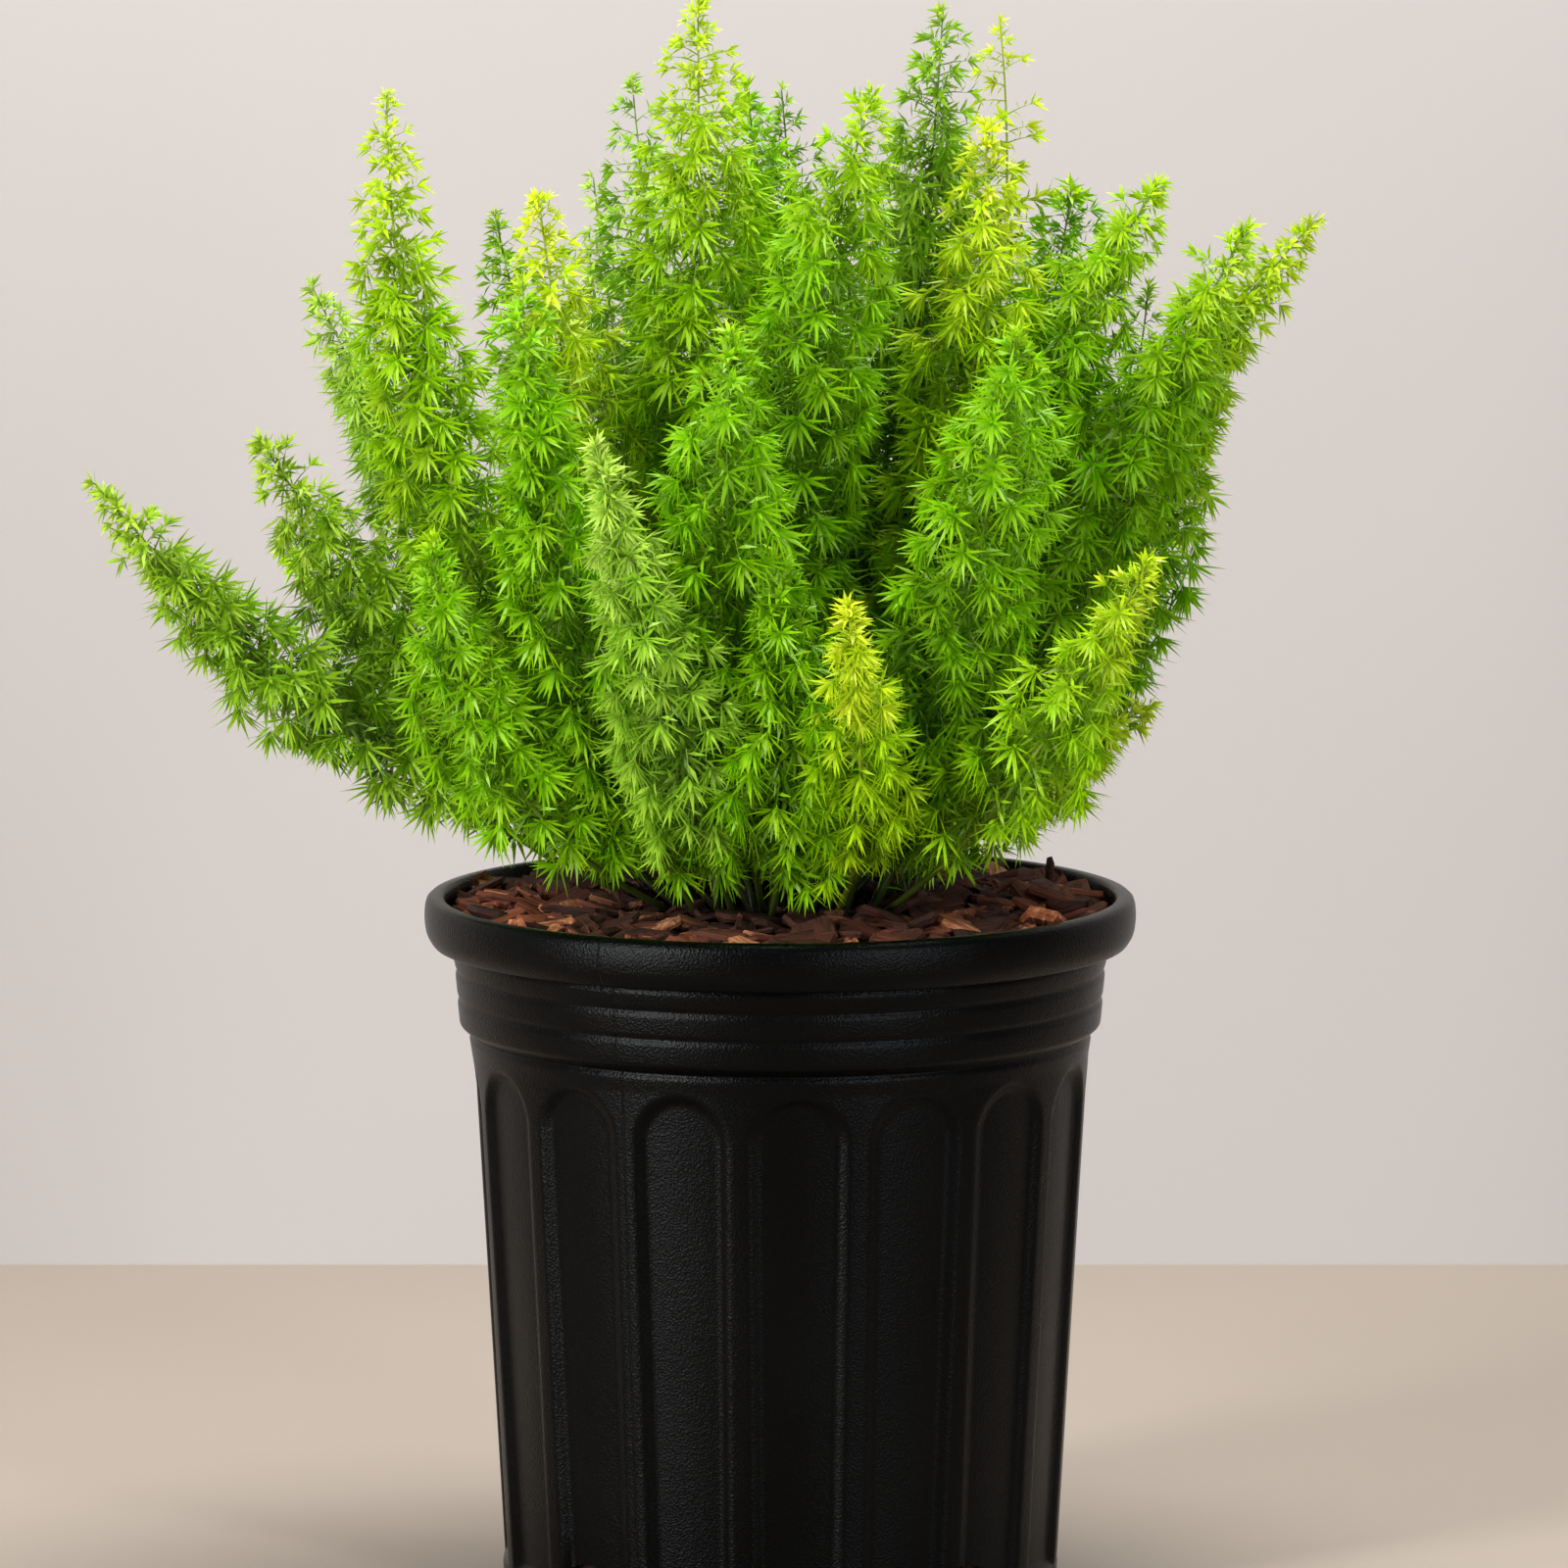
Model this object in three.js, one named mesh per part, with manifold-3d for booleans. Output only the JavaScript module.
// A foxtail fern in a black nursery pot: fluted pot, potting soil, bark mulch, and forty leafy
// stems that leave one crown and arch up and out, each clothed all round in short needles.
// Millimetres, +Z up. The pot's axis is Z, its base rests on Z = 0 and its front faces -Y.
import * as THREE from "three";
import { mergeVertices } from "three/addons/utils/BufferGeometryUtils.js";
import Module from "manifold-3d";

const wasm = await Module();
wasm.setup();

// Pot: a tapered wall with a rolled rim on a stepped neck.
const POT_HEIGHT = 272;
const RIM_RADIUS = 140;
const RIM_INNER_RADIUS = 131.6;
const RIM_DEPTH = 19.5;
const NECK_RADIUS = 128.5;
const NECK_FOOT_RADIUS = 126;
const NECK_FOOT_HEIGHT = 221;
const NECK_WALL = 2.6;
const NECK_BAND_EDGES = [0, 0.3, 0.36, 0.64, 0.7];
const NECK_BAND_RELIEF = [-0.4, 0.6];
const RIM_UNDER_STEP = 0.6;
const RIM_UNDER_ROUND = 4.2;
const RIM_FACE_SLOPE = 0.6;
const RIM_FACE = [-4, 2.5];
const RIM_TOP_ROUND = 3.2;
const RIM_LIP_WIDTH = 1;
const RIM_LIP_TAPER = 1.2;
const RIM_LIP_DEPTH = 10;
const SHOULDER_HEIGHT = 217.5;
const SHOULDER_STEP = 2;
const BASE_RADIUS = 109.2;
const WALL_TAPER = 0.0578;
const WALL_THICKNESS = 6;
const FLOOR_THICKNESS = 3.5;
const CORNER_ROUND = 5;
const CORNER_WIDTH = 1;
const CORNER_SHARE = 0.35;
const POT_SIDES = 48;

// Flutes: arched hollows all round the wall, and the drain holes at its foot.
const FLUTE_COUNT = 16;
const FLUTE_PITCH = 360 / FLUTE_COUNT;
const FLUTE_FIRST_ANGLE = 3.6;
const FLUTE_DEPTH = 2.9;
const FLUTE_EDGE_DEPTH = 1.7;
const FLUTE_EDGE_WIDTH = 3;
const FLUTE_TOP = 210;
const FLUTE_FOOT = 7;
const FLUTE_HALF_WIDTH = 19.4;
const FLUTE_FOOT_HALF_WIDTH = 17.2;
const FLUTE_ARC_STEPS = 3;
const DRAIN_HALF_WIDTH = 11.6;
const DRAIN_HALF_HEIGHT = 7;
const DRAIN_HEIGHT = 11.8;
const DRAIN_SIDES = 12;
const DRAIN_ANGLES = [-44, 43, 133, 223];

// Soil and mulch. The soil rises through the ring of mulch as the mound that the stems grow from.
const GAP = 0.4;
const SOIL_SIDES = 24;
const SOIL_TOP = 254;
const CROWN_RADIUS = 61;
const CROWN_EDGE = 263;
const CROWN_TOP = 266;
const BED_INNER_RADIUS = 61.8;
const BED_OUTER_RADIUS = 129.4;
const BED_EDGE_TOP = 263;
const BED_EDGE_WIDTH = 2;
const BED_EDGE_HEIGHT = 1;
const BED_MIDDLE_TOP = 267.5;
const CHIP_COUNT = 46;
const CHIP_LENGTH = [26, 40];
const CHIP_WIDTH = [15, 22];
const CHIP_THICKNESS = [4, 6];
const CHIP_SKEW_ALONG = [0.6, 1];
const CHIP_SKEW_ACROSS = [0.55, 1];
const CHIP_ROLL = 0.2;
const CHIP_PITCH = 0.12;
const CHIP_MARGIN = 1;
const CHIP_LIFT = [0.2, 1.4];
const CHIP_SEED = 11;

// Stems and needles.
const ROOT_HEIGHT = 267;
const ROOT_PITCH = 8.2;
const ROOT_SPREAD = 0.42;
const ROOT_REACH = 54;
const GOLDEN_ANGLE = Math.PI * (3 - Math.sqrt(5));
const STALK_RADIUS = 1.9;
const STALK_DEPTH = 34;
const STALK_HOLE_RADIUS = 3.3;
const STALK_HOLE_SIDES = 4;
const CORE_SIDES = 4;
const CORE_SHARE = 0.22;
const CORE_CLEARANCE = 0.6;
const CORE_WINDOW = 5;
const CORE_END = 0.97;
const CORE_RINGS = [
  [0.08, 0.5],
  [0.2, 0.9],
  [0.35, 1],
  [0.5, 0.95],
  [0.66, 0.78],
  [0.82, 0.52],
  [0.92, 0.34],
];
const NEEDLE_LENGTH = 17;
const NEEDLE_RADIUS = 1.05;
const NEEDLE_SIDES = 3;
const NEEDLE_ROOT_SHARE = 0.5;
const NEEDLE_CLEARANCE = 0.5;
const NEEDLE_SPACING = 15.4;
const NEEDLE_FIRST = 0.1;
const NEEDLE_LAST = 0.955;
const LEAN_AT_FOOT = 1.2;
const LEAN_AT_TIP = 0.3;
const LEAN_SPREAD = 0.12;
const ATTEMPTS = 8;
const ATTEMPT_TURN = 0.75;
const LOWEST_NEEDLE = 276;
const NEEDLE_SEED = 7;
const ROUTE_STEPS = 60;

// Each leafy stem: a point that it passes on its way, its tip, the radius of its foliage, its tone.
const STEMS = {
  left_low: { via: [-187, -20, 355], tip: [-270, -20, 440], girth: 36, tone: "deep" },
  left_fringe: { via: [-157, 40, 337], tip: [-220, 45, 358], girth: 18, tone: "deep" },
  left_mid: { via: [-162, 15, 390], tip: [-206, 20, 452], girth: 36, tone: "deep" },
  left_tall: { via: [-131, -30, 445], tip: [-153, -10, 592], girth: 35, tone: "lime" },
  left_behind: { via: [-152, 60, 442], tip: [-187, 65, 509], girth: 25, tone: "pale" },
  front_left: { via: [-84, -75, 408], tip: [-100, -45, 520], girth: 31, tone: "bright" },
  low_left: { via: [-118, -85, 355], tip: [-135, -62, 422], girth: 29, tone: "bright" },
  dark_left: { via: [-95, 72, 460], tip: [-114, 80, 537], girth: 24, tone: "deep" },
  gold_left: { via: [-80, 0, 460], tip: [-95, 10, 552], girth: 36, tone: "gold" },
  thin_left: { via: [-67, 95, 488], tip: [-75, 105, 550], girth: 23, tone: "pale" },
  front_pale: { via: [-49, -118, 384], tip: [-72, -110, 465], girth: 29, tone: "pale" },
  crown_tall: { via: [-31, -5, 510], tip: [-32, 0, 629], girth: 41, tone: "lime" },
  thin_mid: { via: [-51, 50, 518], tip: [-59, 65, 592], girth: 23, tone: "pale" },
  dark_mid: { via: [6, 80, 510], tip: [0, 90, 586], girth: 28, tone: "deep" },
  centre_main: { via: [9, -50, 474], tip: [37, -30, 593], girth: 40, tone: "bright" },
  centre_front: { via: [-20, -95, 420], tip: [-19, -72, 505], girth: 33, tone: "bright" },
  right_tall: { via: [55, 30, 512], tip: [64, 35, 621], girth: 33, tone: "deep" },
  thin_gold: { via: [88, 62, 510], tip: [86, 65, 617], girth: 19, tone: "gold" },
  gold_right: { via: [75, -20, 480], tip: [80, -10, 580], girth: 33, tone: "gold" },
  right_inner: { via: [100, 28, 470], tip: [115, 33, 552], girth: 38, tone: "bright" },
  right_outer: { via: [107, -12, 486], tip: [150, -5, 556], girth: 36, tone: "bright" },
  dark_right: { via: [138, 85, 450], tip: [147, 98, 507], girth: 22, tone: "deep" },
  right_arm: { via: [140, -32, 462], tip: [183, -25, 540], girth: 33, tone: "bright" },
  right_tip: { via: [169, 22, 487], tip: [213, 30, 538], girth: 24, tone: "lime" },
  right_edge: { via: [136, 15, 394], tip: [172, 20, 478], girth: 33, tone: "bright" },
  right_front: { via: [77, -90, 420], tip: [92, -68, 504], girth: 33, tone: "bright" },
  front_lime: { via: [105, -110, 352], tip: [143, -108, 420], girth: 29, tone: "lime" },
  front_gold: { via: [31, -122, 347], tip: [25, -135, 406], girth: 19, tone: "gold" },
  front_fill: { via: [2, -110, 347], tip: [-2, -98, 422], girth: 29, tone: "bright" },
  right_fringe: { via: [109, -20, 325], tip: [148, -10, 350], girth: 22, tone: "lime" },
  back_left: { via: [-110, 110, 370], tip: [-160, 150, 440], girth: 30, tone: "bright" },
  back_low: { via: [-95, 150, 318], tip: [-130, 203, 348], girth: 26, tone: "deep" },
  back_far: { via: [-40, 130, 390], tip: [-60, 175, 480], girth: 31, tone: "bright" },
  back_mid: { via: [20, 130, 400], tip: [35, 175, 490], girth: 32, tone: "deep" },
  back_right: { via: [85, 120, 370], tip: [120, 165, 450], girth: 31, tone: "bright" },
  back_skirt: { via: [30, 155, 322], tip: [50, 213, 352], girth: 26, tone: "lime" },
  back_edge: { via: [118, 85, 350], tip: [160, 125, 402], girth: 28, tone: "bright" },
  back_wing: { via: [-140, 75, 350], tip: [-203, 95, 402], girth: 27, tone: "bright" },
  back_inner: { via: [-2, 70, 475], tip: [-14, 62, 589], girth: 27, tone: "bright" },
  back_tall: { via: [50, 72, 440], tip: [54, 88, 545], girth: 32, tone: "bright" },
};

const MATERIALS = {
  pot: { color: 0x161617, roughness: 0.46, metalness: 0 },
  soil: { color: 0x2a1c13, roughness: 0.95, metalness: 0 },
  bark: { color: 0x5a2f1f, roughness: 0.88, metalness: 0 },
  bright: { color: 0x5fc21c, roughness: 0.55, metalness: 0 },
  deep: { color: 0x2f8f2a, roughness: 0.55, metalness: 0 },
  pale: { color: 0x8cc56a, roughness: 0.55, metalness: 0 },
  lime: { color: 0x8fd62a, roughness: 0.55, metalness: 0 },
  gold: { color: 0xc3dc2f, roughness: 0.55, metalness: 0 },
};

const radians = THREE.MathUtils.degToRad;
const lerp = THREE.MathUtils.lerp;

// A repeatable stream of numbers from 0 to 1.
function seeded(seed) {
  let state = seed >>> 0;
  return () => {
    state = (state + 0x6d2b79f5) >>> 0;
    let mixed = Math.imul(state ^ (state >>> 15), state | 1);
    mixed ^= mixed + Math.imul(mixed ^ (mixed >>> 7), mixed | 61);
    return ((mixed ^ (mixed >>> 14)) >>> 0) / 4294967296;
  };
}

// A closed geometry as a solid that can be joined and cut. Faces that shrank to a line are dropped.
function solid(geometry) {
  const bare = geometry.index ? geometry.toNonIndexed() : geometry.clone();
  bare.deleteAttribute("normal");
  bare.deleteAttribute("uv");
  const merged = mergeVertices(bare, 1e-3);
  const triVerts = [];
  for (let i = 0; i < merged.index.count; i += 3) {
    const [a, b, c] = [0, 1, 2].map((k) => merged.index.getX(i + k));
    if (a !== b && b !== c && c !== a) triVerts.push(a, b, c);
  }
  return new wasm.Manifold(
    new wasm.Mesh({
      numProp: 3,
      vertProperties: merged.attributes.position.array,
      triVerts: new Uint32Array(triVerts),
    }),
  );
}

// The mesh of a finished solid.
function meshOf(name, shape, material) {
  const { numProp, vertProperties, triVerts } = shape.getMesh();
  const count = vertProperties.length / numProp;
  const position = new Float32Array(count * 3);
  for (let i = 0; i < count; i++) {
    position.set(vertProperties.subarray(i * numProp, i * numProp + 3), i * 3);
  }
  const geometry = new THREE.BufferGeometry()
    .setAttribute("position", new THREE.BufferAttribute(position, 3))
    .setIndex(new THREE.BufferAttribute(new Uint32Array(triVerts), 1));
  geometry.computeVertexNormals();
  const mesh = new THREE.Mesh(geometry, material);
  mesh.name = name;
  return mesh;
}

// A profile of [radius, height] turned about Z, starting at an angle from the front.
function turned(profile, sides, startAngle = 0) {
  const points = profile.map(([radius, height]) => new THREE.Vector2(radius, height));
  return new THREE.LatheGeometry(points, sides, radians(startAngle)).rotateX(Math.PI / 2);
}

// The radius of the pot's tapered wall at a height.
function wallRadius(height) {
  return BASE_RADIUS + WALL_TAPER * height;
}

// Points along the rolled rim, from under its outer edge over its top to the inside.
function rimProfile() {
  const middle = POT_HEIGHT - RIM_DEPTH / 2;
  return [
    [NECK_RADIUS, POT_HEIGHT - RIM_DEPTH + RIM_UNDER_STEP],
    [RIM_RADIUS - RIM_UNDER_ROUND, POT_HEIGHT - RIM_DEPTH],
    [RIM_RADIUS - RIM_FACE_SLOPE, middle + RIM_FACE[0]],
    [RIM_RADIUS, middle + RIM_FACE[1]],
    [RIM_RADIUS - RIM_TOP_ROUND, POT_HEIGHT],
    [RIM_INNER_RADIUS + RIM_LIP_WIDTH, POT_HEIGHT],
    [RIM_INNER_RADIUS - RIM_LIP_TAPER, POT_HEIGHT - RIM_LIP_DEPTH],
  ];
}

// The inside of the pot from the neck down to the floor, as [radius, height], moved in by a gap.
function insideProfile(gap) {
  return [
    [NECK_RADIUS - NECK_WALL - gap, POT_HEIGHT - RIM_DEPTH],
    [NECK_FOOT_RADIUS - NECK_WALL - gap, NECK_FOOT_HEIGHT + SHOULDER_STEP],
    [wallRadius(SHOULDER_HEIGHT) - WALL_THICKNESS - gap, SHOULDER_HEIGHT - SHOULDER_STEP],
    [wallRadius(FLOOR_THICKNESS) - WALL_THICKNESS - gap, FLOOR_THICKNESS + gap],
  ];
}

// One arched hollow at the front of the wall, as a cutter whose floor leans with the wall.
function fluteCutter() {
  const archHeight = FLUTE_TOP - FLUTE_HALF_WIDTH;
  const outline = new THREE.Shape()
    .moveTo(-FLUTE_FOOT_HALF_WIDTH, FLUTE_FOOT)
    .lineTo(FLUTE_FOOT_HALF_WIDTH, FLUTE_FOOT)
    .lineTo(FLUTE_HALF_WIDTH, archHeight)
    .absarc(0, archHeight, FLUTE_HALF_WIDTH, 0, Math.PI, false)
    .lineTo(-FLUTE_FOOT_HALF_WIDTH, FLUTE_FOOT);
  return new THREE.ExtrudeGeometry(outline, {
    depth: 3 * FLUTE_DEPTH,
    curveSegments: FLUTE_ARC_STEPS,
    bevelSegments: 1,
    bevelThickness: FLUTE_EDGE_DEPTH,
    bevelSize: FLUTE_EDGE_WIDTH,
    bevelOffset: -FLUTE_EDGE_WIDTH,
  })
    .translate(0, 0, FLUTE_EDGE_DEPTH)
    .rotateX(Math.PI / 2)
    .rotateX(Math.atan(WALL_TAPER))
    .translate(0, FLUTE_DEPTH - BASE_RADIUS, 0);
}

// One oval drain hole through the foot of the wall, at an angle from the front.
function drainCutter(angle) {
  return new THREE.CylinderGeometry(1, 1, 4 * WALL_THICKNESS, DRAIN_SIDES)
    .scale(DRAIN_HALF_WIDTH, 1, DRAIN_HALF_HEIGHT)
    .translate(0, -BASE_RADIUS, DRAIN_HEIGHT)
    .rotateZ(radians(angle));
}

// The pot: turned wall and rim, flutes and drain holes cut.
function pot() {
  const bandHeight = POT_HEIGHT - RIM_DEPTH - NECK_FOOT_HEIGHT;
  const bands = NECK_BAND_EDGES.map((share, i) => [
    lerp(NECK_FOOT_RADIUS, NECK_RADIUS, share) + NECK_BAND_RELIEF[i % 2],
    NECK_FOOT_HEIGHT + share * bandHeight,
  ]);
  const body = turned(
    [
      [0, 0],
      [BASE_RADIUS - CORNER_ROUND, 0],
      [BASE_RADIUS - CORNER_WIDTH, CORNER_ROUND * CORNER_SHARE],
      [wallRadius(CORNER_ROUND), CORNER_ROUND],
      [wallRadius(SHOULDER_HEIGHT), SHOULDER_HEIGHT],
      ...bands,
      ...rimProfile(),
      ...insideProfile(0),
      [0, FLOOR_THICKNESS],
    ],
    POT_SIDES,
    FLUTE_FIRST_ANGLE + FLUTE_PITCH / 2,
  );
  let shape = solid(body);
  for (let i = 0; i < FLUTE_COUNT; i++) {
    const angle = FLUTE_FIRST_ANGLE + i * FLUTE_PITCH;
    shape = shape.subtract(solid(fluteCutter().rotateZ(radians(angle))));
  }
  for (const angle of DRAIN_ANGLES) {
    shape = shape.subtract(solid(drainCutter(angle)));
  }
  return shape;
}

// The potting soil: it fills the pot, rises in a low mound, and has a plain hole for each stalk.
function pottingSoil(roots) {
  const side = insideProfile(2 * GAP).reverse();
  let shape = solid(
    turned(
      [
        [0, FLOOR_THICKNESS + GAP],
        [side[0][0], FLOOR_THICKNESS + GAP],
        ...side.slice(1, 3),
        [side[3][0], SOIL_TOP],
        [CROWN_RADIUS, SOIL_TOP],
        [CROWN_RADIUS, CROWN_EDGE],
        [0, CROWN_TOP],
      ],
      SOIL_SIDES,
    ),
  );
  const depth = 2 * STALK_DEPTH;
  for (const root of roots) {
    const hole = new THREE.CylinderGeometry(
      STALK_HOLE_RADIUS,
      STALK_HOLE_RADIUS,
      depth,
      STALK_HOLE_SIDES,
    )
      .rotateX(Math.PI / 2)
      .translate(root.x, root.y, ROOT_HEIGHT - STALK_DEPTH - GAP + depth / 2);
    shape = shape.subtract(solid(hole));
  }
  return shape;
}

// The height of the mulch bed at a distance from the pot's axis.
function bedTop(radius) {
  return THREE.MathUtils.mapLinear(
    radius,
    BED_OUTER_RADIUS,
    BED_INNER_RADIUS,
    BED_EDGE_TOP,
    BED_MIDDLE_TOP,
  );
}

// One flat, uneven flake of bark, lying on the bed a little tilted.
function barkChip(index, random) {
  const [length, width, thickness] = [CHIP_LENGTH, CHIP_WIDTH, CHIP_THICKNESS].map(
    ([least, most]) => lerp(least, most, random()),
  );
  const flake = new THREE.BoxGeometry(length, width, thickness);
  const corner = new THREE.Vector3();
  const skews = [0, 1, 2, 3].map(() => [
    lerp(...CHIP_SKEW_ALONG, random()),
    lerp(...CHIP_SKEW_ACROSS, random()),
  ]);
  for (let i = 0; i < flake.attributes.position.count; i++) {
    corner.fromBufferAttribute(flake.attributes.position, i);
    const [alongShare, acrossShare] = skews[(corner.x > 0 ? 2 : 0) + (corner.y > 0 ? 1 : 0)];
    flake.attributes.position.setXY(i, corner.x * alongShare, corner.y * acrossShare);
  }
  const share = (index + 0.5) / CHIP_COUNT;
  const reach = length / 2;
  const radius = THREE.MathUtils.clamp(
    Math.sqrt(lerp(BED_INNER_RADIUS ** 2, BED_OUTER_RADIUS ** 2, share)),
    BED_INNER_RADIUS + reach + CHIP_MARGIN,
    BED_OUTER_RADIUS - reach - CHIP_MARGIN,
  );
  const angle = index * GOLDEN_ANGLE;
  return flake
    .rotateX(lerp(-CHIP_ROLL, CHIP_ROLL, random()))
    .rotateY(lerp(-CHIP_PITCH, CHIP_PITCH, random()))
    .rotateZ(random() * Math.PI)
    .translate(
      radius * Math.sin(angle),
      -radius * Math.cos(angle),
      bedTop(radius) + lerp(...CHIP_LIFT, random()),
    );
}

// The bark mulch: a low ring of bed with flakes standing out of it all over.
function barkMulch() {
  let shape = solid(
    turned(
      [
        [BED_INNER_RADIUS, SOIL_TOP + GAP],
        [NECK_RADIUS - NECK_WALL - 2 * GAP, SOIL_TOP + GAP],
        [BED_OUTER_RADIUS, BED_EDGE_TOP - BED_EDGE_HEIGHT],
        [BED_OUTER_RADIUS - BED_EDGE_WIDTH, BED_EDGE_TOP],
        [BED_INNER_RADIUS, BED_MIDDLE_TOP],
        [BED_INNER_RADIUS, SOIL_TOP + GAP],
      ],
      SOIL_SIDES,
    ),
  );
  const random = seeded(CHIP_SEED);
  for (let i = 0; i < CHIP_COUNT; i++) {
    shape = shape.add(solid(barkChip(i, random)));
  }
  return shape;
}

// Root points: the flattest stems first, each takes the free point of a sunflower crown that lies
// nearest to the way it leans.
function rootPoints() {
  const names = Object.keys(STEMS);
  const free = names.map((_, i) => {
    const radius = ROOT_PITCH * Math.sqrt(i + 0.5);
    const angle = i * GOLDEN_ANGLE;
    return new THREE.Vector3(radius * Math.sin(angle), -radius * Math.cos(angle), ROOT_HEIGHT);
  });
  const steepness = ([x, y, z]) => (z - ROOT_HEIGHT) / Math.hypot(x, y);
  const flattestFirst = [...names].sort(
    (a, b) => steepness(STEMS[a].via) - steepness(STEMS[b].via),
  );
  const roots = {};
  for (const name of flattestFirst) {
    const wish = new THREE.Vector3(STEMS[name].via[0], STEMS[name].via[1], 0);
    wish.setLength(Math.min(ROOT_REACH, wish.length() * ROOT_SPREAD)).setZ(ROOT_HEIGHT);
    free.sort((a, b) => a.distanceToSquared(wish) - b.distanceToSquared(wish));
    roots[name] = free.shift();
  }
  return roots;
}

// The curve of a stem above ground, through its root, its passing point and its tip.
function stemCurve(root, via, tip) {
  const [middle, end] = [new THREE.Vector3(...via), new THREE.Vector3(...tip)];
  const lower = root.distanceTo(middle);
  const t = lower / (lower + middle.distanceTo(end));
  const handle = middle
    .clone()
    .addScaledVector(root, -((1 - t) ** 2))
    .addScaledVector(end, -(t ** 2))
    .divideScalar(2 * t * (1 - t));
  return new THREE.QuadraticBezierCurve3(root, handle, end);
}

// For each stem, points along it and how far each of them is from the nearest other stem.
function stemRoutes(roots) {
  const routes = Object.entries(STEMS).map(([name, { via, tip, girth, tone }]) => {
    const curve = stemCurve(roots[name], via, tip);
    return { name, girth, tone, curve, points: curve.getPoints(ROUTE_STEPS) };
  });
  for (const route of routes) {
    const others = routes.filter((other) => other !== route).flatMap((other) => other.points);
    route.room = route.points.map((point) =>
      Math.sqrt(Math.min(...others.map((other) => other.distanceToSquared(point)))),
    );
  }
  return routes;
}

// The radius of a stem's core at a share of its length, slim enough to clear every other core.
function coreRadius(route, share, fullness) {
  const step = Math.round(share * ROUTE_STEPS);
  const near = route.room.slice(Math.max(0, step - CORE_WINDOW), step + CORE_WINDOW + 1);
  const wanted = route.girth * CORE_SHARE * fullness;
  const above = route.points[step].z - LOWEST_NEEDLE;
  const free = Math.min(Math.min(...near) / 2 - CORE_CLEARANCE, above);
  return Math.max(STALK_RADIUS, Math.min(wanted, free));
}

// Three directions at a point of a stem: along it, and two across it.
function stemFrame(route, share) {
  const along = route.curve.getTangent(share);
  const start = route.points[0];
  const end = route.points[ROUTE_STEPS];
  const side = new THREE.Vector3(start.y - end.y, end.x - start.x, 0).normalize();
  const front = new THREE.Vector3().crossVectors(along, side).normalize();
  const across = new THREE.Vector3().crossVectors(front, along);
  return { at: route.curve.getPoint(share), along, across, front };
}

// The core of a stem: a slim spindle turned straight, then bent along the stem, on a bare stalk.
function stemCore(route) {
  const rings = [
    { share: 0, radius: 0, drop: STALK_DEPTH },
    { share: 0, radius: STALK_RADIUS, drop: STALK_DEPTH },
    { share: 0, radius: STALK_RADIUS, drop: 0 },
    ...route.rings.slice(1).map(({ share, radius }) => ({ share, radius, drop: 0 })),
  ];
  const profile = rings.map(({ radius }, i) => new THREE.Vector2(radius, i));
  const core = new THREE.LatheGeometry(profile, CORE_SIDES);
  const place = core.attributes.position;
  const point = new THREE.Vector3();
  for (let i = 0; i < place.count; i++) {
    point.fromBufferAttribute(place, i);
    const ring = rings[Math.round(point.y)];
    const frame = stemFrame(route, ring.share);
    const flat = ring.share === 0;
    const across = flat ? new THREE.Vector3(frame.across.x, frame.across.y, 0) : frame.across;
    const front = flat ? new THREE.Vector3(-across.y, across.x, 0) : frame.front;
    across.normalize();
    front.normalize();
    const target = frame.at
      .addScaledVector(front, point.x)
      .addScaledVector(across, point.z);
    place.setXYZ(i, target.x, target.y, target.z - ring.drop);
  }
  return core;
}

// A needle from its root on the core to its free end.
function needle(root, end) {
  const length = root.distanceTo(end);
  const turn = new THREE.Quaternion().setFromUnitVectors(
    new THREE.Vector3(0, 1, 0),
    end.clone().sub(root).normalize(),
  );
  return new THREE.ConeGeometry(NEEDLE_RADIUS, length, NEEDLE_SIDES)
    .translate(0, length / 2, 0)
    .applyQuaternion(turn)
    .translate(root.x, root.y, root.z);
}

// The middle and the radius of a finished core at a share of its length, between its rings.
function coreAt(route, share) {
  const above = route.rings.findIndex((ring) => ring.share >= share);
  if (above < 1) return above === 0 ? route.rings[0] : route.rings.at(-1);
  const [from, to] = [route.rings[above - 1], route.rings[above]];
  const part = THREE.MathUtils.inverseLerp(from.share, to.share, share);
  return { at: from.at.clone().lerp(to.at, part), radius: lerp(from.radius, to.radius, part) };
}

// True where a needle stays clear of every other stem's core and of every needle placed so far.
function isClear(line, route, routes, placed) {
  const closest = new THREE.Vector3();
  const reach = NEEDLE_RADIUS + NEEDLE_CLEARANCE;
  const clearOfCores = routes.every(
    (other) =>
      other === route ||
      other.points.every((point, step) => {
        line.closestPointToPoint(point, true, closest);
        return closest.distanceTo(point) > other.radii[step] + reach + CORE_CLEARANCE;
      }),
  );
  const apart = (other) => Math.sqrt(line.distanceSqToLine3(other));
  return clearOfCores && placed.every((other) => apart(other) > 2 * reach);
}

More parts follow.
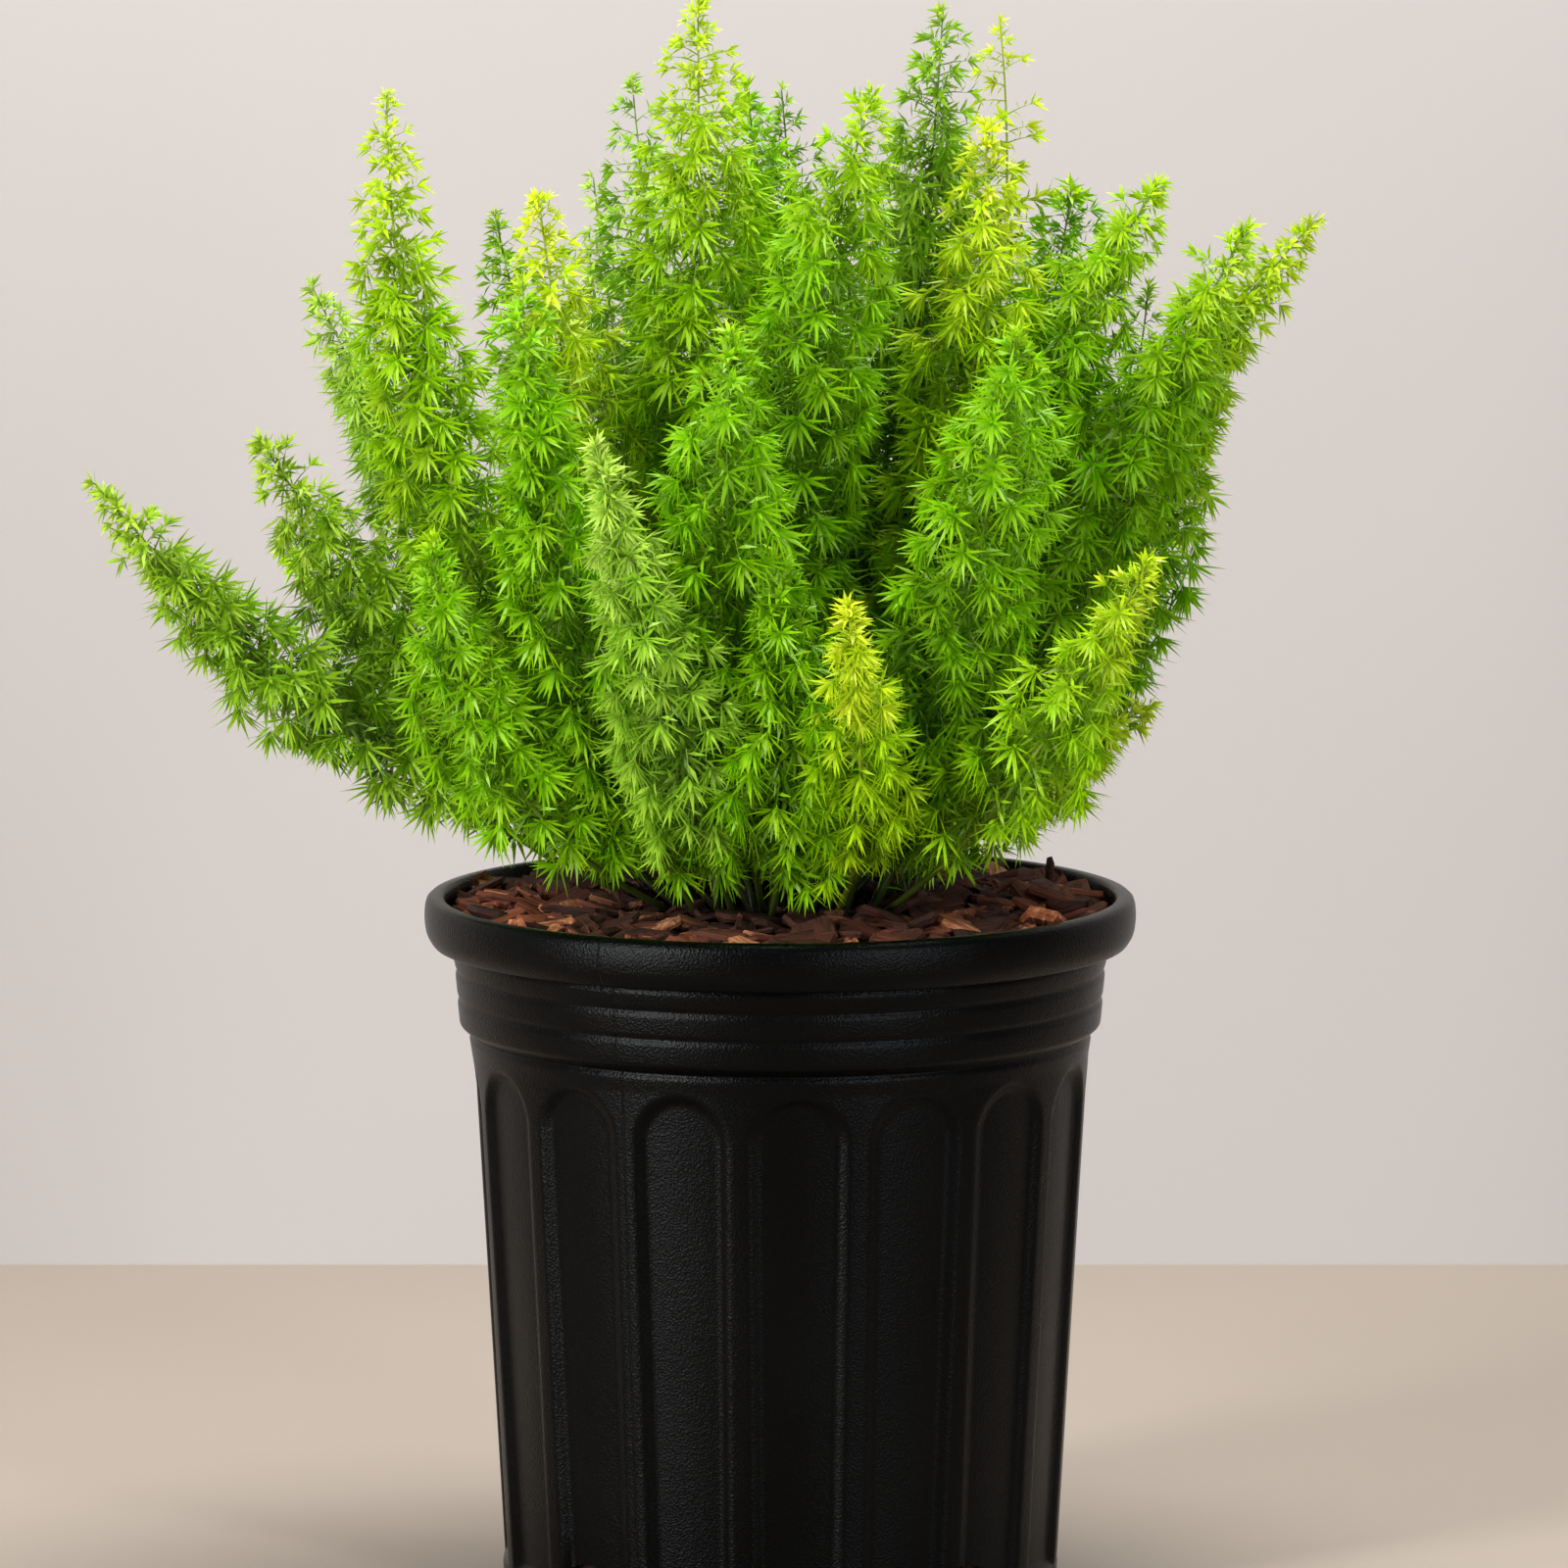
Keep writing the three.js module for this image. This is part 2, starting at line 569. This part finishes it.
// The needles of a stem, spun round it by the golden angle and leaning out less towards its tip.
function stemNeedles(route, routes, placed, random) {
  const lines = [];
  const count = Math.round(route.curve.getLength() / NEEDLE_SPACING);
  for (let i = 0; i < count; i++) {
    const share = lerp(NEEDLE_FIRST, NEEDLE_LAST, i / (count - 1));
    const { along, across, front } = stemFrame(route, share);
    const { at, radius } = coreAt(route, share);
    const lean = lerp(LEAN_AT_FOOT, LEAN_AT_TIP, share ** 2) + LEAN_SPREAD * (random() - 0.5);
    for (let attempt = 0; attempt < ATTEMPTS; attempt++) {
      const spin = i * GOLDEN_ANGLE + attempt * ATTEMPT_TURN;
      const out = across
        .clone()
        .multiplyScalar(Math.cos(spin))
        .addScaledVector(front, Math.sin(spin));
      const root = at.clone().addScaledVector(out, NEEDLE_ROOT_SHARE * radius);
      const direction = along.clone().multiplyScalar(Math.cos(lean));
      direction.addScaledVector(out, Math.sin(lean));
      const line = new THREE.Line3(root, root.clone().addScaledVector(direction, NEEDLE_LENGTH));
      if (line.end.z > LOWEST_NEEDLE && isClear(line, route, routes, placed)) {
        placed.push(line);
        lines.push(line);
        break;
      }
    }
  }
  return lines;
}

// A leafy stem: its core with every needle joined to it.
function leafyStem(route, lines) {
  let shape = solid(stemCore(route));
  for (const line of lines) {
    shape = shape.add(solid(needle(line.start, line.end)));
  }
  return shape;
}

const materials = Object.fromEntries(
  Object.entries(MATERIALS).map(([name, look]) => [name, new THREE.MeshStandardMaterial(look)]),
);
const roots = rootPoints();
const routes = stemRoutes(roots);
for (const route of routes) {
  route.rings = [[0, 0], ...CORE_RINGS, [CORE_END, 0]].map(([share, fullness]) => ({
    share,
    at: route.curve.getPoint(share),
    radius: coreRadius(route, share, fullness),
  }));
  route.rings.at(-1).radius = 0;
}
for (const route of routes) {
  route.radii = route.points.map((_, step) => coreAt(route, step / ROUTE_STEPS).radius);
}

const fern = new THREE.Group();
fern.add(meshOf("pot", pot(), materials.pot));
fern.add(meshOf("potting_soil", pottingSoil(Object.values(roots)), materials.soil));
fern.add(meshOf("bark_mulch", barkMulch(), materials.bark));
const random = seeded(NEEDLE_SEED);
const placed = [];
for (const route of routes) {
  const lines = stemNeedles(route, routes, placed, random);
  fern.add(meshOf("stem_" + route.name, leafyStem(route, lines), materials[route.tone]));
}

export default fern;
